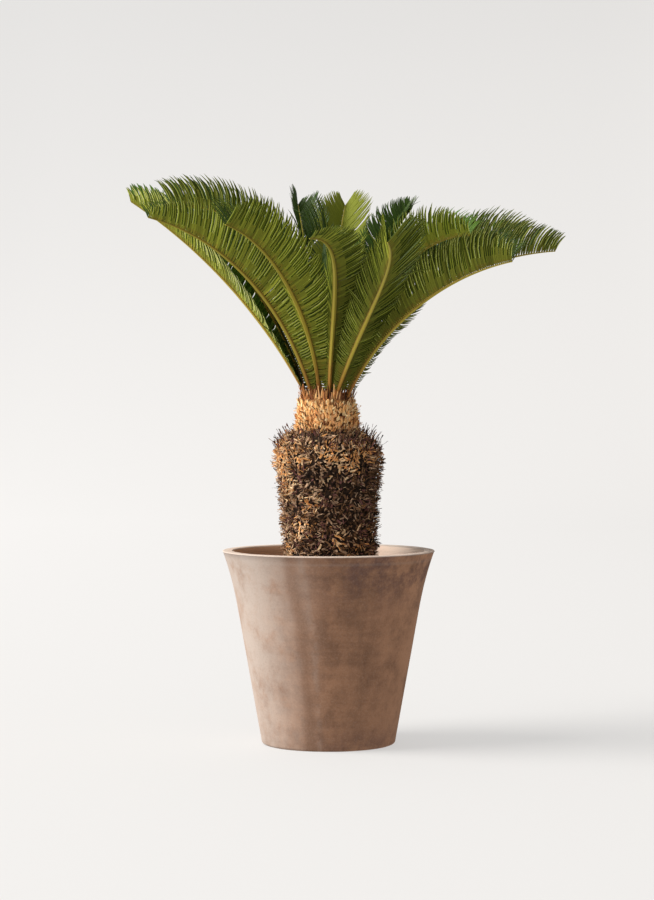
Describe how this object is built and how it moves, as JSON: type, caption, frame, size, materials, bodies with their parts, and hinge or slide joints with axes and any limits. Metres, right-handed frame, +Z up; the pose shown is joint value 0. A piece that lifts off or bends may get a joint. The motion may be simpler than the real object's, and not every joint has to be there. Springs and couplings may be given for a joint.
{
  "type": "potted sago palm",
  "caption": "Sago palm with a whorl of arching feathery fronds on a scaly barrel trunk, growing in a tapered clay pot with a flared flat rim.",
  "frame": {"origin": "centre of the pot's flat underside, on the surface the pot stands on", "axes": "+Z up along the pot's axis, -Y towards the front, +X to the right seen from the front"},
  "size_m": [0.7413, 0.7357, 0.9422],
  "materials": {
    "clay": "matte unglazed terracotta under a grey-brown wash, with soft streaks and a faint pale bloom",
    "potting_soil": "matte dark potting soil with small gravel",
    "old_bark": "matte dark brown scaly bark with tan and purplish fibre",
    "new_bark": "matte tan to orange overlapping scales with reddish-brown bracts",
    "frond": "satin leaflets, dark glossy green above and yellow-green below, on olive-tan ribs"
  },
  "bodies": {
    "root": {"pot": "clay", "soil": "potting_soil", "trunk_barrel": "old_bark", "trunk_neck": "new_bark", "frond_01_lower": "frond", "frond_01_upper": "frond", "frond_02_lower": "frond", "frond_02_upper": "frond", "frond_03_lower": "frond", "frond_03_upper": "frond", "frond_04_lower": "frond", "frond_04_upper": "frond", "frond_05_lower": "frond", "frond_05_upper": "frond", "frond_06_lower": "frond", "frond_06_upper": "frond", "frond_07_lower": "frond", "frond_07_upper": "frond", "frond_08_lower": "frond", "frond_08_upper": "frond", "frond_09_lower": "frond", "frond_09_upper": "frond", "frond_10_lower": "frond", "frond_10_upper": "frond", "frond_11_lower": "frond", "frond_11_upper": "frond", "frond_12_lower": "frond", "frond_12_upper": "frond", "frond_13_lower": "frond", "frond_13_upper": "frond", "frond_14_lower": "frond", "frond_14_upper": "frond", "frond_15_lower": "frond", "frond_15_upper": "frond", "frond_16_lower": "frond", "frond_16_upper": "frond", "frond_17_lower": "frond", "frond_17_upper": "frond", "frond_18_lower": "frond", "frond_18_upper": "frond"}
  },
  "joints": []
}
